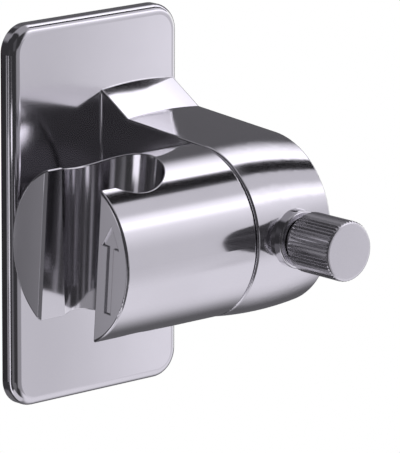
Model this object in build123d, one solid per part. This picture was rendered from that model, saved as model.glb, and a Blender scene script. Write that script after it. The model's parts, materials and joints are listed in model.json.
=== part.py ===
from build123d import *
import math
import os

# Hand shower holder, in millimetres and degrees.
# +X runs right along the wall, +Y goes into the wall and +Z is up.
# The origin is on the wall, at the middle of the plate. Reach is the distance out from the wall, along -Y.

# Wall plate, the back plate let into it and the foam pad
plate_height = 96.0
plate_width = 54.0
plate_thickness = 4.5
plate_corner_radius = 7.0
plate_edge_round = 2.5
plate_rim = 2.6
back_plate_thickness = 1.8
back_plate_clearance = 0.1
pad_thickness = 0.7
pad_margin = 3.0

# Arm: the neck and the fixed barrel at its end
arm_width = 24.0
arm_inset = 1.65
arm_wall = 2.4
arm_edge_round = 0.6
neck_root_half_height = 29.0
neck_knee_half_height = 23.2
neck_knee_length = 9.6
neck_root_round = 0.5
axis_reach = 41.6
barrel_radius = 21.3
barrel_crown = 0.75

# Countersunk screws that hold the back plate to bosses in the neck
screw_length = 9.0
screw_shank_radius = 1.25
screw_head_radius = 2.6
screw_head_height = 1.35
screw_boss_radius = 2.8
screw_tip_room = 1.0

# Swivel: the cradle's spigot in the barrel's bore
seam_gap = 0.4
bore_depth = 20.0
spigot_radius = 11.0
spigot_clearance = 0.05
spigot_end_room = 0.5
spigot_core_radius = 6.0
groove_depth = 2.0
groove_side_room = 0.3
o_ring_width = 2.0
o_ring_section = 1.5
o_ring_offset = 4.0
o_ring_side_room = 0.1
washer_width = 2.1
washer_sink = 0.6
washer_clearance = 0.05

# Cradle and its tapered keyhole
cradle_length = 41.0
cradle_lean = 4.3
cradle_wall = 2.6
cradle_edge_round = 0.6
cradle_core_depth = 8.0
socket_setback = 12.3
socket_mid_radius = 11.4
socket_taper = 2.6
socket_edge_round = 0.3
slot_width = 19.4
slot_chamfer = 0.65

# Arrow engraved in the end of the cradle's front ear
arrow_reach = 14.6
arrow_tip_height = 10.9
arrow_foot_height = -10.3
arrow_head_height = 4.9
arrow_head_width = 5.7
arrow_shaft_width = 2.1
arrow_depth = 0.5
arrow_edge_round = 0.2

# Clamp: bush, shoe, stud and knob on an axis square to the wall
collar_radius = 7.2
collar_proud = 2.0
collar_sink = 0.4
collar_edge_round = 0.6
bush_radius = 5.0
stud_radius = 3.0
stud_clearance = 0.05
stud_head_across_flats = 8.0
stud_head_height = 3.0
stud_depth_in_knob = 8.0
dog_radius = 1.4
dog_length = 1.5
shoe_radius = 2.4
shoe_length = 5.2
shoe_clearance = 0.05
shoe_guide_length = 1.2
knob_radius = 7.4
knob_length = 14.1
knob_neck_radius = 5.6
knob_neck_length = 2.1
knob_gap = 0.3
knob_back_round = 0.9
knob_front_round = 0.9
knob_round_steps = 4
flute_count = 50
flute_depth = 0.35

# How far a cutting solid runs past the face that it opens
overcut = 1.0

# Places that follow from the sizes above
plate_seat = pad_thickness + back_plate_thickness
plate_face = pad_thickness + plate_thickness
arm_right = plate_width / 2 - arm_inset
arm_left = arm_right - arm_width
arm_middle = (arm_left + arm_right) / 2
cradle_right = arm_left - seam_gap
cradle_left = cradle_right - cradle_length
socket_x = cradle_left + socket_setback
neck_knee_reach = plate_face + neck_knee_length
bore_radius = spigot_radius + spigot_clearance
groove_floor = spigot_radius - groove_depth
barrel_crest = axis_reach + barrel_radius + barrel_crown
collar_seat = axis_reach + math.sqrt(barrel_radius**2 - collar_radius**2) - collar_sink
collar_front = barrel_crest + collar_proud
bush_inner_end = axis_reach + bore_radius + shoe_guide_length
shoe_foot = axis_reach + groove_floor + shoe_clearance
shoe_top = shoe_foot + shoe_length
knob_neck_start = collar_front + knob_gap
knurl_start = collar_front + knob_neck_length
knob_front = knurl_start + knob_length
stud_end = knob_neck_start + stud_depth_in_knob
spigot_end = arm_left + bore_depth - spigot_end_room
washer_outer_radius = bore_radius + washer_width
hub_radius = washer_outer_radius + arm_wall

# Frames: across the arm, along the swivel axis, along the clamp axis and in the leaning keyhole
swivel_axis = Axis((0, -axis_reach, 0), (1, 0, 0))
swivel_section = Plane(origin=(0, -axis_reach, 0), x_dir=(1, 0, 0), z_dir=(0, 0, -1))
clamp_axis = Axis((arm_middle, 0, 0), (0, -1, 0))
clamp_section = Plane(origin=(arm_middle, 0, 0), x_dir=(1, 0, 0), z_dir=(0, 0, -1))
socket_frame = Pos(socket_x, -axis_reach, 0) * Rot(cradle_lean, 0, 0)


def wall_plane(reach):
    """Plane parallel to the wall, facing out, with X right and Z up."""
    return Plane.XZ.offset(reach)


def side_plane(x):
    """Plane square to the swivel axis, facing left, with reach across and Z up."""
    return Plane(origin=(x, 0, 0), x_dir=(0, -1, 0), z_dir=(-1, 0, 0))


def sheet(inset, start, thickness):
    """Sheet parallel to the wall, with the plate's outline drawn in by inset."""
    outline = RectangleRounded(plate_width - 2 * inset, plate_height - 2 * inset, plate_corner_radius - inset)
    return extrude(wall_plane(start) * outline, thickness)


def clamp_rod(radius, start, end):
    """Round rod on the clamp axis."""
    return extrude(wall_plane(start) * Pos(arm_middle, 0) * Circle(radius), end - start)


def swivel_ring(inner_radius, outer_radius, start, end):
    """Ring or disc on the swivel axis."""
    middle = Pos((start + end) / 2, (inner_radius + outer_radius) / 2)
    section = swivel_section * middle * Rectangle(end - start, outer_radius - inner_radius)
    return revolve(section, swivel_axis)


def turned(outline):
    """Solid turned on the clamp axis from an outline of radius and reach."""
    return revolve(clamp_section * make_face(outline), clamp_axis)


def screw_places():
    """Four places in the corners of the neck's cavity, as X and Z."""
    inset = arm_wall + screw_boss_radius / 2
    height = neck_knee_half_height - inset
    return [(x, z) for x in (arm_left + inset, arm_right - inset) for z in (-height, height)]


def arm_outline(x, swell):
    """Section across the arm at x, with its outline moved out by swell."""
    slope = Vector(neck_knee_length, neck_knee_half_height - neck_root_half_height).normalized()
    slope_normal = Vector(-slope.Y, slope.X)
    to_axis = Vector(axis_reach - neck_knee_reach, -neck_knee_half_height)
    tangent_angle = math.atan2(to_axis.Y, to_axis.X) + math.asin(barrel_radius / to_axis.length)
    tangent_normal = Vector(-math.sin(tangent_angle), math.cos(tangent_angle))
    knee_shift = (slope_normal + tangent_normal) * (swell / (1 + slope_normal.dot(tangent_normal)))

    root_height = neck_root_half_height + swell / slope_normal.Y
    root = Vector(plate_face, root_height)
    sunk_root = Vector((plate_seat + plate_face) / 2, root_height)
    knee = Vector(neck_knee_reach, neck_knee_half_height) + knee_shift
    tangent = Vector(axis_reach, 0) + tangent_normal * (barrel_radius + swell)
    front = Vector(axis_reach + barrel_radius + swell, 0)

    upper = [sunk_root, root, knee, tangent]
    lower = [Vector(p.X, -p.Y) for p in reversed(upper)]
    outline = Polyline(*upper) + ThreePointArc(tangent, front, lower[0]) + Polyline(*lower, sunk_root)
    return side_plane(x) * make_face(outline)


def make_arm():
    """Neck and barrel, crowned across their width, with rounded side edges."""
    sections = [
        arm_outline(arm_right, 0),
        arm_outline(arm_middle, barrel_crown),
        arm_outline(arm_left, 0),
    ]
    arm = loft(sections)
    side_edges = arm.faces().filter_by(Axis.X).edges().filter_by(
        lambda edge: edge.bounding_box().min.Y < -plate_face - overcut
    )
    return fillet(side_edges, arm_edge_round)


def make_neck_cavity():
    """Hollow that opens at the back of the plate, with a boss for each screw."""
    cavity_end = axis_reach - barrel_radius
    root_height = neck_root_half_height - arm_wall
    knee_height = neck_knee_half_height - arm_wall
    upper = [
        (plate_seat - overcut, root_height),
        (plate_face, root_height),
        (neck_knee_reach, knee_height),
        (cavity_end, knee_height),
    ]
    lower = [(reach, -height) for reach, height in reversed(upper)]
    outline = make_face(Polyline(*upper, *lower, close=True))
    cavity = extrude(side_plane(arm_right - arm_wall) * outline, arm_width - 2 * arm_wall)
    for x, z in screw_places():
        boss = wall_plane(plate_seat) * Pos(x, z) * Circle(screw_boss_radius)
        cavity -= extrude(boss, cavity_end - plate_seat)
    return cavity


def make_bracket_body():
    """Plate, neck and barrel as one moulding, with a recess in its back."""
    slab = sheet(0, pad_thickness, plate_thickness)
    arm = make_arm()
    body = slab + arm
    root_edge = body.edges().filter_by(Axis.Z).sort_by_distance((arm_left, -plate_face, 0))[0]
    body = fillet(root_edge, neck_root_round)
    rounded_slab = fillet(slab.faces().sort_by(Axis.Y)[0].edges(), plate_edge_round)
    body -= slab - rounded_slab - arm
    body -= sheet(plate_rim, pad_thickness - overcut, back_plate_thickness + overcut)
    body -= make_neck_cavity()

    pilot_depth = screw_length - back_plate_thickness + screw_tip_room
    for x, z in screw_places():
        body -= extrude(wall_plane(plate_seat) * Pos(x, z) * Circle(screw_shank_radius), pilot_depth)

    body -= swivel_ring(0, bore_radius, arm_left - overcut, arm_left + bore_depth)
    core_end = arm_right - arm_wall
    core = swivel_ring(hub_radius, barrel_radius - arm_wall, arm_left - overcut, core_end)
    body -= core - clamp_rod(bush_radius + arm_wall, axis_reach, knob_front)

    body -= clamp_rod(collar_radius, collar_seat, knob_front)
    body -= clamp_rod(bush_radius, bush_inner_end, collar_seat)
    body -= clamp_rod(shoe_radius + shoe_clearance, axis_reach + groove_floor, bush_inner_end)
    return body


def make_screw(x, z):
    """One countersunk screw, with its head flush with the back of the back plate."""
    head_end = pad_thickness + screw_head_height
    cone = loft(
        [
            wall_plane(pad_thickness) * Pos(x, z) * Circle(screw_head_radius),
            wall_plane(head_end) * Pos(x, z) * Circle(screw_shank_radius),
        ]
    )
    shank = extrude(
        wall_plane(head_end) * Pos(x, z) * Circle(screw_shank_radius),
        screw_length - screw_head_height,
    )
    return cone + shank


def make_back_plate():
    """Flat plate that closes the recess, with countersunk holes."""
    plate = sheet(plate_rim + back_plate_clearance, pad_thickness, back_plate_thickness)
    for x, z in screw_places():
        plate -= make_screw(x, z)
    return plate


def make_adhesive_pad():
    """Foam pad between the back plate and the wall."""
    return sheet(pad_margin, 0, pad_thickness)


def make_spigot():
    """Spigot that rises from the washer's seat, with grooves for the O-ring and the clamp shoe."""
    spigot = swivel_ring(0, spigot_radius, cradle_right - washer_sink, spigot_end)
    o_ring_start = arm_left + o_ring_offset - o_ring_side_room
    o_ring_end = arm_left + o_ring_offset + o_ring_width + o_ring_side_room
    spigot -= swivel_ring(spigot_radius - o_ring_section, bore_radius, o_ring_start, o_ring_end)
    groove_half_width = shoe_radius + groove_side_room
    groove_start = arm_middle - groove_half_width
    groove_end = arm_middle + groove_half_width
    spigot -= swivel_ring(groove_floor, bore_radius, groove_start, groove_end)
    return spigot


def make_socket_cut():
    """Tapered hole and parallel slot, cut right through the cradle along the lean."""
    cut_height = 2 * (barrel_radius + overcut)
    flare = math.tan(math.radians(socket_taper)) * cut_height / 2
    hole = Cone(socket_mid_radius - flare, socket_mid_radius + flare, cut_height)
    slot_length = socket_setback + overcut
    slot = Pos(-slot_length / 2, 0, 0) * Box(slot_length, slot_width, cut_height)
    return socket_frame * (hole + slot)


def make_arrow():
    """Upward arrow sunk in the end face of the front ear."""
    head_foot = arrow_tip_height - arrow_head_height
    right_side = [
        (arrow_reach, arrow_tip_height),
        (arrow_reach + arrow_head_width / 2, head_foot),
        (arrow_reach + arrow_shaft_width / 2, head_foot),
        (arrow_reach + arrow_shaft_width / 2, arrow_foot_height),
    ]
    left_side = [(2 * arrow_reach - reach, height) for reach, height in reversed(right_side[1:])]
    outline = make_face(Polyline(*right_side, *left_side, close=True))
    arrow = extrude(side_plane(arrow_depth) * outline, arrow_depth + overcut)
    return Pos(cradle_left, -axis_reach, 0) * Rot(cradle_lean, 0, 0) * arrow


def make_cradle_shell():
    """Round bar with the keyhole cut through it and its edges eased."""
    shell = swivel_ring(0, barrel_radius, cradle_left, cradle_right)
    shell -= make_socket_cut()
    ears = shell.faces().filter_by(Axis.X).sort_by(Axis.X)[:2]
    shell = chamfer(ears.edges().filter_by(GeomType.LINE), slot_chamfer)
    shell = fillet(shell.edges().filter_by(GeomType.CIRCLE), cradle_edge_round)
    outside = shell.faces().filter_by(GeomType.CYLINDER).sort_by(SortBy.AREA)[-1]
    rims = outside.edges().filter_by(
        lambda edge: edge.geom_type != GeomType.CIRCLE and edge.bounding_box().max.X < cradle_right - overcut
    )
    return fillet(rims, socket_edge_round)


def make_cradle():
    """Turning half of the barrel, open at its left end for the handset's cone."""
    core_start = cradle_right - cradle_core_depth
    cradle = make_cradle_shell()
    cradle -= swivel_ring(hub_radius, barrel_radius - cradle_wall, core_start, cradle_right + overcut)
    cradle -= swivel_ring(0, washer_outer_radius, cradle_right - washer_sink, cradle_right + overcut)
    cradle += make_spigot()
    cradle -= swivel_ring(0, spigot_core_radius, core_start, spigot_end + overcut)
    cradle -= make_arrow()
    marked_faces = cradle.faces().filter_by(Axis.X).filter_by(lambda face: face.inner_wires())
    arrow_rim = marked_faces.sort_by(Axis.X)[0].inner_wires()[0]
    return fillet(arrow_rim.edges(), arrow_edge_round)


def make_o_ring():
    """Ring on the spigot, with its corners rounded."""
    start = arm_left + o_ring_offset
    inner_radius = spigot_radius - o_ring_section
    ring = swivel_ring(inner_radius, spigot_radius + spigot_clearance / 2, start, start + o_ring_width)
    return fillet(ring.edges(), o_ring_section / 3)


def make_washer():
    """Flat washer that lies in the cradle's shoulder and runs on the barrel's face."""
    start = cradle_right - washer_sink
    inner_radius = spigot_radius + washer_clearance
    outer_radius = washer_outer_radius - washer_clearance
    return swivel_ring(inner_radius, outer_radius, start, arm_left - washer_clearance)


def make_bush():
    """Turned bush, pressed into the barrel, with a collar outside."""
    bore = stud_radius + stud_clearance
    corner = collar_front - collar_edge_round
    rounded = collar_radius - collar_edge_round
    outline = Polyline(
        (rounded, collar_front),
        (bore, collar_front),
        (bore, bush_inner_end),
        (bush_radius, bush_inner_end),
        (bush_radius, collar_seat),
        (collar_radius, collar_seat),
        (collar_radius, corner),
    )
    outline += RadiusArc((collar_radius, corner), (rounded, collar_front), -collar_edge_round)
    return turned(outline)


def make_shoe():
    """Shoe on the stud's tip, with its foot curved to the groove's floor."""
    shoe = clamp_rod(shoe_radius, axis_reach, shoe_top)
    shoe -= swivel_ring(0, groove_floor + shoe_clearance, cradle_right, arm_right)
    return shoe - clamp_rod(dog_radius + shoe_clearance, shoe_top - dog_length - shoe_clearance, shoe_top)


def make_stud():
    """Stud with a dog point in the shoe and a hexagon head held in the knob."""
    shoulder = shoe_top + shoe_clearance
    stud = clamp_rod(stud_radius, shoulder, stud_end)
    stud += clamp_rod(dog_radius, shoe_top - dog_length, shoulder)
    hexagon = RegularPolygon(stud_head_across_flats / 2, 6, major_radius=False)
    head_start = stud_end - stud_head_height
    return stud + extrude(wall_plane(head_start) * Pos(arm_middle, 0) * hexagon, stud_head_height)


def make_flutes():
    """Fluted bar on the clamp axis, longer than the knob's grip."""
    corners = []
    for step in range(2 * flute_count):
        radius = knob_radius - flute_depth * (step % 2)
        turn = math.pi * step / flute_count
        corners.append((radius * math.cos(turn), radius * math.sin(turn)))
    outline = make_face(Polyline(*corners, close=True))
    start = wall_plane(knurl_start - overcut) * Pos(arm_middle, 0)
    return extrude(start * outline, knob_length + 2 * overcut)


def round_points(radius, reach, size, first_turn):
    """Points along a quarter round, with its middle at the given radius and reach."""
    turns = [first_turn + math.pi / 2 * step / knob_round_steps for step in range(knob_round_steps + 1)]
    return [(radius + size * math.cos(turn), reach + size * math.sin(turn)) for turn in turns]


def make_knob(stud):
    """Fluted knob with its ends eased in short cones, moulded over the stud."""
    back_middle = (knob_radius - knob_back_round, knurl_start + knob_back_round)
    front_middle = (knob_radius - knob_front_round, knob_front - knob_front_round)
    back = round_points(*back_middle, knob_back_round, -math.pi / 2)
    front = round_points(*front_middle, knob_front_round, 0)
    outline = Polyline((0, knurl_start), *back, *front, (0, knob_front), close=True)
    grip = make_flutes() & turned(outline)
    neck = clamp_rod(knob_neck_radius, knob_neck_start, knurl_start + knob_back_round)
    return grip + neck - stud


def main():
    stud = make_stud()
    pieces = {
        "adhesive_pad": make_adhesive_pad(),
        "back_plate": make_back_plate(),
        "back_plate_screws": Compound([make_screw(x, z) for x, z in screw_places()]),
        "bracket_body": make_bracket_body(),
        "threaded_bush": make_bush(),
        "cradle": make_cradle(),
        "swivel_o_ring": make_o_ring(),
        "friction_washer": make_washer(),
        "clamp_shoe": make_shoe(),
        "clamp_stud": stud,
        "clamp_knob": make_knob(stud),
    }
    os.makedirs("parts", exist_ok=True)
    for name, piece in pieces.items():
        export_step(piece, f"parts/{name}.step")


main()
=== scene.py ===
import json
import math

import bmesh
import bpy
from mathutils import Matrix, Quaternion, Vector


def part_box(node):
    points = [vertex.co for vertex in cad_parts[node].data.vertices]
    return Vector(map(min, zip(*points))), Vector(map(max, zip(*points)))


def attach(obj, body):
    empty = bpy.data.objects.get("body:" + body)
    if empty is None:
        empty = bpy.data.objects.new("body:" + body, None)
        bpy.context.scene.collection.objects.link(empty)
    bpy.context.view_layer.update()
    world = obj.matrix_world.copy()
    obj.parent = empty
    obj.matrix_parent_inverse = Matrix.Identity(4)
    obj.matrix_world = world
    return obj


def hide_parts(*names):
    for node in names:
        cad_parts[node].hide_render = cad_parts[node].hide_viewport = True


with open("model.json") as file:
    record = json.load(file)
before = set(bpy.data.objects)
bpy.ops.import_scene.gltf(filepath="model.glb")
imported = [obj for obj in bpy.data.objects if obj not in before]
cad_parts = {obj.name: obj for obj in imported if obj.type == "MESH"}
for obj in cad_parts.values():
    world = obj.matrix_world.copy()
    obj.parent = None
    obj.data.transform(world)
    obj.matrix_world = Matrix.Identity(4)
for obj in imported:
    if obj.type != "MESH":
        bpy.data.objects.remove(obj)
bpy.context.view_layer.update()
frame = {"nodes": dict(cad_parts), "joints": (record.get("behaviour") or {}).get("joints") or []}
nodes = frame["nodes"]
swivelAxis = Vector(next(j for j in frame["joints"] if j["name"] == "cradle_swivel")["pos_m"])
print("frame loaded:", len(nodes), "nodes")


# small helpers for objects and node trees

def addObject(name, data):
    made = bpy.data.objects.new(name, data)
    bpy.context.scene.collection.objects.link(made)
    return made


def clearTree(material):
    material.use_nodes = True
    material.node_tree.nodes.clear()
    return material.node_tree


def addNode(tree, kind, place=(0, 0), **settings):
    node = tree.nodes.new(kind)
    node.location = place
    for name, value in settings.items():
        setattr(node, name, value)
    return node


def setInputs(node, **values):
    for name, value in values.items():
        node.inputs[name.replace("_", " ")].default_value = value


def link(tree, source, target):
    tree.links.new(source, target)


def mathNode(tree, operation, first, second=None, place=(0, 0), clamp=False):
    node = addNode(tree, "ShaderNodeMath", place, operation=operation, use_clamp=clamp)
    for socket, value in zip(node.inputs, (first, second)):
        if value is None:
            continue
        if isinstance(value, (int, float)):
            socket.default_value = value
        else:
            link(tree, value, socket)
    return node.outputs[0]


# camera, from where the photograph was taken

cameraView = {
    "place": (-0.7722, -0.9047, 0.2761),
    "aim": (0.02043, -0.02064, -0.00584),
    "roll": 0.2,               # degrees
    "lens": 390.3,             # millimetres, as the sensor
    "sensor": 36.0,
    "clip": (0.05, 50.0),
}


def makeCamera():
    data = bpy.data.cameras.new("holderCamera")
    data.lens = cameraView["lens"]
    data.sensor_width = cameraView["sensor"]
    data.clip_start, data.clip_end = cameraView["clip"]
    camera = addObject("holderCamera", data)
    place = Vector(cameraView["place"])
    camera.location = place
    aimed = (Vector(cameraView["aim"]) - place).to_track_quat("-Z", "Y")
    camera.rotation_euler = (aimed @ Quaternion((0, 0, 1), math.radians(cameraView["roll"]))).to_euler()
    bpy.context.scene.camera = camera


makeCamera()
print("camera placed")


# studio: white surroundings, a pale floor, and long cards hung round the swivel axis for the chrome to mirror

studio = {
    "white": (1.0, 1.0, 1.0, 1.0),
    "cardTint": (0.97, 0.945, 1.03, 1.0),
    "ambient": 0.55,           # light on matt surfaces
    "floorDrop": 2.6,          # below the axis
    "floorSize": 16.0,
    "floorColor": (0.86, 0.86, 0.87, 1.0),
    "cardStep": 4,             # degrees to each face of a card
    "lampSize": 0.9,
    "lampReach": 1.6,
    "lampPower": 14.0,
    "lampTurns": ((-70, 50), (25, 40), (160, 60)),   # azimuth and height of each lamp
}

# strips round the swivel axis: turn 0 is straight out from the wall, 90 up and 180 into the wall
cards = {
    "rightTent": {"turn": (-180, 180), "level": 0.63, "reach": 2.3, "side": (0.25, 7.0), "sideSoft": (0.7, 0)},
    "leftTent": {"turn": (-180, 180), "level": 0.04, "reach": 2.35, "side": (-14.0, 1.0)},
    "wallShade": {"turn": (110, 279), "soft": (26, 42), "level": 0.115, "reach": 2.2, "side": (0.2, 7.0),
                  "sideSoft": (0.6, 0)},
    "lowFill": {"turn": (-103, -16), "soft": (34, 30), "level": 0.80, "reach": 2.1, "side": (-0.2, 7.0),
                "sideSoft": (0.8, 0)},
    "lowLeft": {"turn": (-112, -58), "soft": (14, 6), "level": 0.65, "reach": 2.07, "side": (-2.4, 0.4),
                "sideSoft": (0.8, 0.4)},
    "frontGlow": {"turn": (4, 56), "soft": (44, 8), "level": 1.10, "reach": 2.08, "side": (0.4, 7.0),
                  "sideSoft": (0.8, 0)},
    "frontBox": {"turn": (31, 49), "soft": (8, 8), "level": 1.5, "reach": 2.05, "side": (0.4, 7.0),
                 "sideSoft": (0.8, 0)},
    "topBox": {"turn": (84, 132), "soft": (2, 38), "level": 1.6, "reach": 2.0, "side": (0.35, 7.0),
               "sideSoft": (0.8, 0)},
    "overheadFlag": {"turn": (71.5, 92.5), "soft": (3, 3), "level": 0.006, "reach": 1.92, "side": (0.7, 7.0),
                     "sideSoft": (0.5, 0)},
    "overShade": {"turn": (48, 134), "soft": (12, 12), "level": 0.35, "reach": 1.94, "side": (-0.75, 1.1),
                  "sideSoft": (0.4, 0.4)},
    "frontShade": {"turn": (-34, 8), "soft": (8, 8), "level": 0.30, "reach": 1.95, "side": (-0.7, 1.2),
                   "sideSoft": (0.5, 0.4)},
    "highBack": {"turn": (122, 160), "soft": (8, 8), "level": 0.28, "reach": 1.92, "side": (-1.35, -0.2),
                 "sideSoft": (0.4, 0.3)},
    "lowBack": {"turn": (-156, -120), "soft": (8, 8), "level": 0.14, "reach": 1.92, "side": (-0.8, 0.75),
                "sideSoft": (0.3, 0.3)},
    "leftFill": {"turn": (-64, -23), "soft": (10, 5), "level": 0.15, "reach": 1.88, "side": (-5.2, -0.6),
                 "sideSoft": (0.8, 0.6)},
    "leftFront": {"turn": (0, 64), "soft": (8, 12), "level": 0.08, "reach": 1.86, "side": (-2.5, -0.7),
                  "sideSoft": (0.5, 0.4)},
    # rings round the line out from the wall: a wide one low on the left, and a narrow one close to the plate's edge
    "lowRing": {"about": "wall", "turn": (186, 250), "soft": (12, 20), "level": 1.15, "reach": 1.8,
                "side": (0.10, 0.68), "sideSoft": (0.12, 0.3)},
    "rimSide": {"about": "wall", "turn": (163, 206), "soft": (4, 6), "level": 0.8, "reach": 0.058,
                "side": (0.0005, 0.010), "sideSoft": (0.003, 0.003)},
}

# flat panels, shaded from their left end to their right end: three near the object, and one that closes leftTent
panels = {
    "plateGlow": {"from": (0.013, -0.0052, 0.004), "along": (0.633, -0.740, -0.226), "distance": 0.30,
                  "size": (0.080, 0.170), "levels": (0.56, 1.0), "soft": (0.014, 0.03)},
    "sideGlow": {"from": (-0.040, -0.030, 0.0), "along": (-0.633, 0.740, -0.226), "distance": 0.20,
                 "size": (0.085, 0.130), "levels": (0.42, 0.0), "soft": (0.012, 0.03)},
    "holeGlow": {"from": (-0.025, -0.029, 0.008), "along": (-1.0, 0.0, 0.0), "distance": 0.060,
                 "size": (0.022, 0.016), "levels": (1.2, 1.2), "soft": (0.004, 0.003)},
    "leftEnd": {"from": (0.0, -0.0416, 0.0), "along": (-1.0, 0.0, 0.0), "distance": 13.5,
                "size": (8.0, 8.0), "levels": (0.05, 0.05), "soft": (0.1, 0.1)},
}


def whiteToView(tree, out, dim, bright):
    # the bright shader for what the camera, mirrors and glass see, the dim one for light that falls on the object
    rays = addNode(tree, "ShaderNodeLightPath", (-400, 120)).outputs
    seen = mathNode(tree, "ADD", rays["Is Camera Ray"], rays["Is Glossy Ray"], (-220, 120))
    mix = addNode(tree, "ShaderNodeMixShader", (400, 0))
    link(tree, mathNode(tree, "ADD", seen, rays["Is Transmission Ray"], (-40, 120), clamp=True), mix.inputs[0])
    link(tree, dim.outputs[0], mix.inputs[1])
    link(tree, bright.outputs[0], mix.inputs[2])
    link(tree, mix.outputs[0], out.inputs["Surface"])


def makeWorld():
    world = bpy.data.worlds.new("whiteRoom")
    bpy.context.scene.world = world
    tree = clearTree(world)
    out = addNode(tree, "ShaderNodeOutputWorld", (600, 0))
    soft = addNode(tree, "ShaderNodeBackground", (200, -80))
    setInputs(soft, Color=studio["white"], Strength=studio["ambient"])
    bright = addNode(tree, "ShaderNodeBackground", (200, -220))
    setInputs(bright, Color=studio["white"], Strength=1.0)
    whiteToView(tree, out, soft, bright)


def makeFloor():
    size = studio["floorSize"] / 2
    height = swivelAxis.z - studio["floorDrop"]
    mesh = bpy.data.meshes.new("studioFloor")
    corners = [(-size, -size, height), (size, -size, height), (size, size, height), (-size, size, height)]
    mesh.from_pydata(corners, [], [(0, 1, 2, 3)])
    floor = addObject("studioFloor", mesh)
    material = bpy.data.materials.new("paleFloor")
    tree = clearTree(material)
    out = addNode(tree, "ShaderNodeOutputMaterial", (600, 0))
    matt = addNode(tree, "ShaderNodeBsdfDiffuse", (200, -60))
    setInputs(matt, Color=studio["floorColor"])
    bright = addNode(tree, "ShaderNodeEmission", (200, -200))
    setInputs(bright, Color=studio["white"], Strength=1.0)
    whiteToView(tree, out, matt, bright)
    mesh.materials.append(material)


def cardMaterial(name, settings, fades):
    # fades gives the soft share at each end, along the card and across it
    material = bpy.data.materials.new(name)
    tree = clearTree(material)
    out = addNode(tree, "ShaderNodeOutputMaterial", (900, 0))
    mix = addNode(tree, "ShaderNodeMixShader", (700, 0))
    glow = addNode(tree, "ShaderNodeEmission", (500, -120))
    setInputs(glow, Color=studio["cardTint"], Strength=settings.get("level", 1.0))
    clear = addNode(tree, "ShaderNodeBsdfTransparent", (500, 0))
    across = addNode(tree, "ShaderNodeSeparateXYZ", (-200, 0))
    link(tree, addNode(tree, "ShaderNodeTexCoord", (-400, 0)).outputs["UV"], across.inputs[0])
    if "levels" in settings:
        shade = addNode(tree, "ShaderNodeMapRange", (250, -250), interpolation_type="SMOOTHSTEP")
        setInputs(shade, To_Min=settings["levels"][0], To_Max=settings["levels"][1])
        link(tree, across.outputs["X"], shade.inputs["Value"])
        link(tree, shade.outputs[0], glow.inputs["Strength"])
    cover = None
    for axis, softs in zip("XY", fades):
        for start, step, soft in ((0.0, 1.0, softs[0]), (1.0, -1.0, softs[1])):
            if not soft:
                continue
            fade = addNode(tree, "ShaderNodeMapRange", (0, 0), interpolation_type="SMOOTHSTEP")
            setInputs(fade, From_Min=start, From_Max=start + step * soft)
            link(tree, across.outputs[axis], fade.inputs["Value"])
            cover = mathNode(tree, "MULTIPLY", fade.outputs[0], cover or 1.0, (300, 0))
    if cover:
        link(tree, cover, mix.inputs[0])
    else:
        mix.inputs[0].default_value = 1.0
    link(tree, clear.outputs[0], mix.inputs[1])
    link(tree, glow.outputs[0], mix.inputs[2])
    link(tree, mix.outputs[0], out.inputs["Surface"])
    return material


def hangCard(name, settings, points, uvs, faces, fades):
    mesh = bpy.data.meshes.new(name)
    mesh.from_pydata(points, [], faces)
    layer = mesh.uv_layers.new(name="across")
    for loop in mesh.loops:
        layer.data[loop.index].uv = uvs[loop.vertex_index]
    mesh.materials.append(cardMaterial(name, settings, fades))
    card = addObject(name, mesh)
    card.visible_camera = False
    card.visible_diffuse = False
    card.visible_shadow = False


def makeCard(name, settings):
    first, last = settings["turn"]
    low, high = settings["side"]
    steps = max(2, int((last - first) / studio["cardStep"]))
    points, uvs = [], []
    for i in range(steps + 1):
        turn = math.radians(first + (last - first) * i / steps)
        near, far = math.cos(turn) * settings["reach"], math.sin(turn) * settings["reach"]
        for share, side in enumerate((low, high)):
            if settings.get("about") == "wall":
                points.append(Vector((near, side, far)))
            else:
                points.append(swivelAxis + Vector((side, -near, far)))
            uvs.append((i / steps, share))
    faces = [(2 * i, 2 * i + 1, 2 * i + 3, 2 * i + 2) for i in range(steps)]
    fades = ([soft / (last - first) for soft in settings.get("soft", (0, 0))],
             [soft / (high - low) for soft in settings.get("sideSoft", (0, 0))])
    hangCard(name, settings, points, uvs, faces, fades)


def makePanel(name, settings):
    along = Vector(settings["along"]).normalized()
    centre = Vector(settings["from"]) + along * settings["distance"]
    right = Vector((abs(along.y), abs(along.x), 0.0)).normalized()
    up = along.cross(right).normalized()
    if up.z < 0:
        up = -up
    width, height = settings["size"]
    uvs = [(0, 0), (1, 0), (1, 1), (0, 1)]
    points = [centre + right * (u - 0.5) * width + up * (v - 0.5) * height for u, v in uvs]
    fades = [[soft / size] * 2 for soft, size in zip(settings["soft"], settings["size"])]
    hangCard(name, settings, points, uvs, [(0, 1, 2, 3)], fades)


def makeLamps():
    for index, (azimuth, height) in enumerate(studio["lampTurns"]):
        data = bpy.data.lights.new(f"softLamp{index}", "AREA")
        data.size = studio["lampSize"]
        data.energy = studio["lampPower"]
        lamp = addObject(f"softLamp{index}", data)
        turn, rise = math.radians(azimuth), math.radians(height)
        away = Vector((math.sin(turn) * math.cos(rise), -math.cos(turn) * math.cos(rise), math.sin(rise)))
        lamp.location = swivelAxis + away * studio["lampReach"]
        lamp.rotation_euler = away.to_track_quat("Z", "Y").to_euler()
        lamp.visible_glossy = False


makeWorld()
makeFloor()
for cardName, cardSettings in cards.items():
    makeCard(cardName, cardSettings)
for panelName, panelSettings in panels.items():
    makePanel(panelName, panelSettings)
makeLamps()
print("studio built:", len(cards), "cards and", len(panels), "panels")


# finishes

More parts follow.
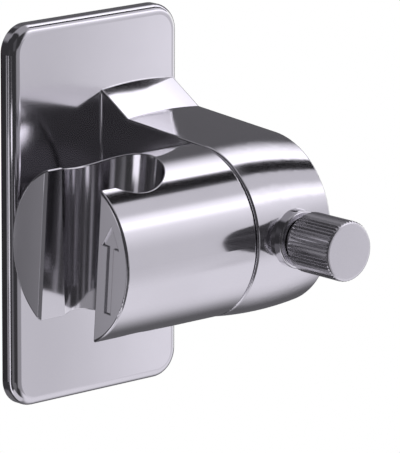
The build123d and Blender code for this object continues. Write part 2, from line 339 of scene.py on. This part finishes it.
def startGroup(name, values):
    # a group with these values, a low and a high tint and roughness going in, and colour, roughness and height out
    group = bpy.data.node_groups.new(name, "ShaderNodeTree")
    for socket in values + ("Low Roughness", "High Roughness"):
        group.interface.new_socket(socket, in_out="INPUT", socket_type="NodeSocketFloat")
    for socket in ("Low Tint", "High Tint"):
        group.interface.new_socket(socket, in_out="INPUT", socket_type="NodeSocketColor")
    group.interface.new_socket("Color", in_out="OUTPUT", socket_type="NodeSocketColor")
    for socket in ("Roughness", "Height"):
        group.interface.new_socket(socket, in_out="OUTPUT", socket_type="NodeSocketFloat")
    return group, addNode(group, "NodeGroupInput", (-900, 0))


def placeTextures(group, start, textures):
    place = addNode(group, "ShaderNodeTexCoord", (-900, -300))
    for scale, texture in textures.items():
        link(group, place.outputs["Object"], texture.inputs["Vector"])
        link(group, start.outputs[scale], texture.inputs["Scale"])


def endGroup(group, start, pattern, lowest, highest, height):
    # tint and roughness follow the pattern, from its lowest value to its highest
    end = addNode(group, "NodeGroupOutput", (700, 0))
    spread = addNode(group, "ShaderNodeMapRange", (-100, 0), interpolation_type="SMOOTHSTEP")
    setInputs(spread, From_Min=lowest, From_Max=highest)
    link(group, pattern, spread.inputs["Value"])
    tint = addNode(group, "ShaderNodeMix", (200, 150), data_type="RGBA")
    link(group, spread.outputs[0], tint.inputs["Factor"])
    link(group, start.outputs["Low Tint"], tint.inputs[6])
    link(group, start.outputs["High Tint"], tint.inputs[7])
    rough = addNode(group, "ShaderNodeMapRange", (200, -100))
    link(group, spread.outputs[0], rough.inputs["Value"])
    link(group, start.outputs["Low Roughness"], rough.inputs["To Min"])
    link(group, start.outputs["High Roughness"], rough.inputs["To Max"])
    link(group, tint.outputs[2], end.inputs["Color"])
    link(group, rough.outputs[0], end.inputs["Roughness"])
    link(group, height, end.inputs["Height"])


def finishMaterial(name, group, metal, bump, depth, values):
    material = bpy.data.materials.new(name)
    tree = clearTree(material)
    out = addNode(tree, "ShaderNodeOutputMaterial", (600, 0))
    shader = addNode(tree, "ShaderNodeBsdfPrincipled", (300, 0))
    setInputs(shader, Metallic=metal)
    finish = addNode(tree, "ShaderNodeGroup", (-200, 0), node_tree=group)
    setInputs(finish, **values)
    relief = addNode(tree, "ShaderNodeBump", (50, -250))
    setInputs(relief, Strength=bump, Distance=depth)
    link(tree, finish.outputs["Color"], shader.inputs["Base Color"])
    link(tree, finish.outputs["Roughness"], shader.inputs["Roughness"])
    link(tree, finish.outputs["Height"], relief.inputs["Height"])
    link(tree, relief.outputs[0], shader.inputs["Normal"])
    link(tree, shader.outputs[0], out.inputs["Surface"])
    return material


def platingGroup():
    # bright plating: a faint waviness left by the moulding, and a haze that changes a little over the surface
    group, start = startGroup("platingFinish", ("Wave Scale", "Haze Scale"))
    wave = addNode(group, "ShaderNodeTexNoise", (-500, -300))
    setInputs(wave, Detail=1.0, Roughness=0.4)
    haze = addNode(group, "ShaderNodeTexNoise", (-500, 0))
    setInputs(haze, Detail=3.0, Roughness=0.55)
    placeTextures(group, start, {"Wave Scale": wave, "Haze Scale": haze})
    endGroup(group, start, haze.outputs[0], 0.35, 0.7, wave.outputs[0])
    return group


plating = {
    "platedBody": {"waveScale": 150, "clean": 0.105, "hazy": 0.125, "bump": 0.02},
    "platedCradle": {"waveScale": 150, "clean": 0.105, "hazy": 0.125, "bump": 0.02},
    "platedKnob": {"waveScale": 300, "clean": 0.23, "hazy": 0.26, "bump": 0.02},
    "platedBush": {"waveScale": 300, "clean": 0.06, "hazy": 0.08, "bump": 0.02},
}
platingShared = {"bright": (0.81, 0.80, 0.825, 1.0), "deep": (0.785, 0.775, 0.80, 1.0), "hazeScale": 45.0,
                 "waveDepth": 0.0001}


def platedMaterial(name, group):
    settings = plating[name]
    values = {"Wave_Scale": settings["waveScale"], "Haze_Scale": platingShared["hazeScale"],
              "Low_Roughness": settings["clean"], "High_Roughness": settings["hazy"],
              "Low_Tint": platingShared["bright"], "High_Tint": platingShared["deep"]}
    return finishMaterial(name, group, 1.0, settings["bump"], platingShared["waveDepth"], values)


def grainGroup():
    # unplated surfaces: fine grain, rounder cells or pores, and a tint and gloss that follow them
    group, start = startGroup("grainFinish", ("Grain Scale", "Cell Scale", "Cell Share"))
    grain = addNode(group, "ShaderNodeTexNoise", (-600, 100))
    setInputs(grain, Detail=5.0, Roughness=0.6)
    cells = addNode(group, "ShaderNodeTexVoronoi", (-600, -250), feature="SMOOTH_F1")
    setInputs(cells, Smoothness=0.35)
    placeTextures(group, start, {"Grain Scale": grain, "Cell Scale": cells})
    blended = addNode(group, "ShaderNodeMix", (-300, 0), data_type="FLOAT")
    link(group, start.outputs["Cell Share"], blended.inputs["Factor"])
    link(group, grain.outputs[0], blended.inputs[2])
    link(group, cells.outputs["Distance"], blended.inputs[3])
    endGroup(group, start, blended.outputs[0], 0.2, 0.75, blended.outputs[0])
    return group


grainDepth = 0.0002

# scales are cells to the metre
unplated = {
    "plainAbs": {"grain": 2600, "cells": 4200, "cellShare": 0.55, "low": (0.011, 0.011, 0.012, 1),
                 "high": (0.024, 0.024, 0.025, 1), "rough": (0.42, 0.58), "bump": 0.35},
    "foamPad": {"grain": 1500, "cells": 2300, "cellShare": 0.75, "low": (0.028, 0.028, 0.031, 1),
                "high": (0.075, 0.075, 0.080, 1), "rough": (0.85, 0.97), "bump": 0.7},
    "ringRubber": {"grain": 1100, "cells": 3000, "cellShare": 0.25, "low": (0.007, 0.007, 0.007, 1),
                   "high": (0.017, 0.017, 0.017, 1), "rough": (0.48, 0.62), "bump": 0.12},
    "washerNylon": {"grain": 600, "cells": 1800, "cellShare": 0.2, "low": (0.64, 0.62, 0.56, 1),
                    "high": (0.75, 0.73, 0.68, 1), "rough": (0.38, 0.50), "bump": 0.08},
    "shoeNylon": {"grain": 600, "cells": 1800, "cellShare": 0.2, "low": (0.64, 0.62, 0.56, 1),
                  "high": (0.75, 0.73, 0.68, 1), "rough": (0.38, 0.50), "bump": 0.08},
    "studSteel": {"grain": 800, "cells": 2600, "cellShare": 0.4, "low": (0.43, 0.43, 0.44, 1),
                  "high": (0.58, 0.58, 0.59, 1), "rough": (0.20, 0.36), "bump": 0.06, "metal": 1.0},
    "screwSteel": {"grain": 800, "cells": 2600, "cellShare": 0.4, "low": (0.40, 0.40, 0.42, 1),
                   "high": (0.54, 0.54, 0.56, 1), "rough": (0.22, 0.38), "bump": 0.06, "metal": 1.0},
}


def unplatedMaterial(name, group):
    settings = unplated[name]
    smooth, coarse = settings["rough"]
    values = {"Grain_Scale": settings["grain"], "Cell_Scale": settings["cells"], "Cell_Share": settings["cellShare"],
              "Low_Tint": settings["low"], "High_Tint": settings["high"],
              "Low_Roughness": smooth, "High_Roughness": coarse}
    return finishMaterial(name, group, settings.get("metal", 0.0), settings["bump"], grainDepth, values)


nodeFinishes = {
    "bracket_body": "platedBody",
    "back_plate": "plainAbs",
    "cradle": "platedCradle",
    "clamp_knob": "platedKnob",
    "threaded_bush": "platedBush",
    "adhesive_pad": "foamPad",
    "swivel_o_ring": "ringRubber",
    "friction_washer": "washerNylon",
    "clamp_shoe": "shoeNylon",
}


def makeFinishes():
    platingFinish = platingGroup()
    grainFinish = grainGroup()
    made = {name: platedMaterial(name, platingFinish) for name in plating}
    made.update({name: unplatedMaterial(name, grainFinish) for name in unplated})
    return made


def dressNodes(made):
    for node, finish in nodeFinishes.items():
        mesh = nodes[node].data
        mesh.materials.clear()
        mesh.materials.append(made[finish])


finishes = makeFinishes()
dressNodes(finishes)
print("finishes set on", len(nodeFinishes), "nodes")


# turned pieces: rings of points up the local z axis, each ring a height and a radius at every angle

def roundRing(radius):
    return lambda angle: radius


threadForm = {"steepness": 1.5, "rootFlat": 0.3}


def threadRing(height, turned):
    def radius(angle):
        phase = (height / turned["pitch"] - angle / math.tau) % 1.0
        rise = abs(2.0 * phase - 1.0) * threadForm["steepness"] - threadForm["rootFlat"]
        flank = min(1.0, max(0.0, rise))     # 0 on the root, 1 on the crest
        return turned["root"] + (turned["crest"] - turned["root"]) * flank
    return radius


def hexagonRing(acrossFlats):
    sixth = math.radians(60)

    def radius(angle):
        fromFlat = (angle + sixth) % sixth - sixth / 2
        return acrossFlats / 2 / math.cos(fromFlat)
    return radius


def crossRing(armLength, armWidth):
    quarter = math.radians(90)
    armSlope = armWidth / armLength + 1e-6     # the hair keeps the arm's corners on its end

    def radius(angle):
        turn = angle % quarter
        turn = min(turn, quarter - turn)
        if math.tan(turn) <= armSlope:
            return armLength / 2 / math.cos(turn)
        return armWidth / 2 / math.sin(turn)
    return radius


def threadRings(turned, first, last):
    steps = round((last - first) / turned["pitch"] * turned["ringsPerTurn"])
    heights = [first + (last - first) * i / steps for i in range(steps + 1)]
    return [(height, threadRing(height, turned)) for height in heights]


def turnedMesh(name, rings, around):
    points = []
    for height, radius in rings:
        for i in range(around):
            angle = math.tau * i / around
            points.append((radius(angle) * math.cos(angle), radius(angle) * math.sin(angle), height))
    faces = [tuple(reversed(range(around)))]
    for row in range(len(rings) - 1):
        low, high = row * around, (row + 1) * around
        faces += [(low + i, low + (i + 1) % around, high + (i + 1) % around, high + i) for i in range(around)]
    faces.append(tuple(range(len(points) - around, len(points))))
    mesh = bpy.data.meshes.new(name)
    mesh.from_pydata(points, [], faces)
    work = bmesh.new()
    work.from_mesh(mesh)
    bmesh.ops.recalc_face_normals(work, faces=work.faces)
    work.to_mesh(mesh)
    work.free()
    return mesh


def wallSide(low, high):
    # middle of a box's face towards the wall
    return ((low.x + high.x) / 2, high.y, (low.z + high.z) / 2)


def finishPiece(name, mesh, body, node):
    piece = addObject(name, mesh)
    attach(piece, body)
    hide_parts(node)


# countersunk screws in the back plate, their heads towards the wall

backPlateScrew = {
    "headRadius": 0.0026, "headHeight": 0.00135, "headEase": 0.0001,
    "crest": 0.00125, "root": 0.00098, "pitch": 0.0010, "ringsPerTurn": 6,
    "threadStart": 0.0016, "threadEnd": 0.0080, "length": 0.0090, "tip": 0.0003,
    "crossLength": 0.0031, "crossWidth": 0.00083, "crossDepth": 0.00095, "crossFloor": 0.62,
    "around": 48, "seed": 7,
}


def screwRings():
    s = backPlateScrew
    cross = crossRing(s["crossLength"], s["crossWidth"])
    rings = [(s["crossDepth"], lambda angle: cross(angle) * s["crossFloor"]), (0.0, cross)]
    rings.append((0.0, roundRing(s["headRadius"] - 1.5 * s["headEase"])))
    rings.append((s["headEase"], roundRing(s["headRadius"] - s["headEase"])))
    rings.append((s["headHeight"], roundRing(s["crest"])))
    rings.append((s["threadStart"], roundRing(s["root"])))
    rings += threadRings(s, s["threadStart"] + s["headEase"], s["threadEnd"])
    rings.append((s["threadEnd"] + s["headEase"], roundRing(s["root"])))
    rings.append((s["length"], roundRing(s["tip"])))
    return rings


def screwTree(material):
    # one screw on each corner of a grid, each turned by chance, laid against the wall
    tree = bpy.data.node_groups.new("screwsOnGrid", "GeometryNodeTree")
    tree.interface.new_socket("Screw", in_out="INPUT", socket_type="NodeSocketGeometry")
    for name, kind in (("Spacing Across", "NodeSocketFloat"), ("Spacing Up", "NodeSocketFloat"),
                       ("Middle", "NodeSocketVector"), ("Seed", "NodeSocketInt")):
        tree.interface.new_socket(name, in_out="INPUT", socket_type=kind)
    tree.interface.new_socket("Screws", in_out="OUTPUT", socket_type="NodeSocketGeometry")
    start = addNode(tree, "NodeGroupInput", (-800, 0))
    end = addNode(tree, "NodeGroupOutput", (900, 0))
    grid = addNode(tree, "GeometryNodeMeshGrid", (-500, 150))
    setInputs(grid, Vertices_X=2, Vertices_Y=2)
    turn = addNode(tree, "FunctionNodeRandomValue", (-500, -200), data_type="FLOAT_VECTOR")
    turn.inputs[0].default_value = (0.0, 0.0, 0.0)
    turn.inputs[1].default_value = (0.0, 0.0, math.tau)
    spots = addNode(tree, "GeometryNodeInstanceOnPoints", (-200, 0))
    lay = addNode(tree, "GeometryNodeTransform", (100, 0))
    setInputs(lay, Rotation=(math.radians(90), 0.0, 0.0))
    real = addNode(tree, "GeometryNodeRealizeInstances", (400, 0))
    dressed = addNode(tree, "GeometryNodeSetMaterial", (650, 0))
    setInputs(dressed, Material=material)
    link(tree, start.outputs["Spacing Across"], grid.inputs["Size X"])
    link(tree, start.outputs["Spacing Up"], grid.inputs["Size Y"])
    link(tree, start.outputs["Seed"], turn.inputs["Seed"])
    link(tree, grid.outputs["Mesh"], spots.inputs["Points"])
    link(tree, start.outputs["Screw"], spots.inputs["Instance"])
    link(tree, turn.outputs[0], spots.inputs["Rotation"])
    link(tree, spots.outputs[0], lay.inputs["Geometry"])
    link(tree, start.outputs["Middle"], lay.inputs["Translation"])
    link(tree, lay.outputs[0], real.inputs[0])
    link(tree, real.outputs[0], dressed.inputs["Geometry"])
    link(tree, dressed.outputs[0], end.inputs[0])
    return tree


def makeScrews():
    low, high = (Vector(corner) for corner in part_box("back_plate_screws"))
    headWidth = 2 * backPlateScrew["headRadius"]
    sample = addObject("screwSample", turnedMesh("screwSample", screwRings(), backPlateScrew["around"]))
    modifier = sample.modifiers.new("screwsOnGrid", "NODES")
    modifier.node_group = screwTree(finishes["screwSteel"])
    values = {"Spacing Across": high.x - low.x - headWidth, "Spacing Up": high.z - low.z - headWidth,
              "Middle": wallSide(low, high), "Seed": backPlateScrew["seed"]}
    for socket in modifier.node_group.interface.items_tree:
        if socket.name in values and socket.in_out == "INPUT":
            modifier[socket.identifier] = values[socket.name]
    bpy.context.view_layer.update()
    mesh = bpy.data.meshes.new_from_object(sample.evaluated_get(bpy.context.evaluated_depsgraph_get()))
    mesh.name = "backPlateScrews"
    sample.modifiers.clear()
    bpy.data.objects.remove(sample)
    finishPiece("backPlateScrews", mesh, "bracket", "back_plate_screws")


# stud of the clamp: dog point, rolled thread and a hexagon head in the knob

clampStud = {
    "dogRadius": 0.0014, "dogEase": 0.0003, "dogLength": 0.00155,
    "crest": 0.0030, "root": 0.00246, "pitch": 0.0010, "ringsPerTurn": 8,
    "threadStart": 0.0022, "headStart": 0.0166, "headAcross": 0.0080, "length": 0.0196, "headEase": 0.0003,
    "around": 48,
}


def makeStud():
    s = clampStud
    hexagon = hexagonRing(s["headAcross"])
    eased = hexagonRing(s["headAcross"] - 2 * s["headEase"])
    rings = [(0.0, roundRing(s["dogRadius"] - s["dogEase"])), (s["dogEase"], roundRing(s["dogRadius"])),
             (s["dogLength"], roundRing(s["dogRadius"])), (s["dogLength"], roundRing(s["root"] - s["dogEase"])),
             (s["threadStart"] - s["dogEase"], roundRing(s["root"]))]
    rings += threadRings(s, s["threadStart"], s["headStart"] - s["headEase"])
    rings += [(s["headStart"], roundRing(s["root"])), (s["headStart"], eased),
              (s["headStart"] + s["headEase"], hexagon), (s["length"] - s["headEase"], hexagon), (s["length"], eased)]
    mesh = turnedMesh("clampStud", rings, s["around"])
    low, high = (Vector(corner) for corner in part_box("clamp_stud"))
    mesh.transform(Matrix.Translation(wallSide(low, high)) @ Matrix.Rotation(math.radians(90), 4, "X"))
    mesh.materials.append(finishes["studSteel"])
    finishPiece("clampStud", mesh, "clamp_knob", "clamp_stud")


makeScrews()
print("screws set in the back plate")
makeStud()
print("stud set in the knob")


bpy.context.scene.view_settings.view_transform = "Standard"
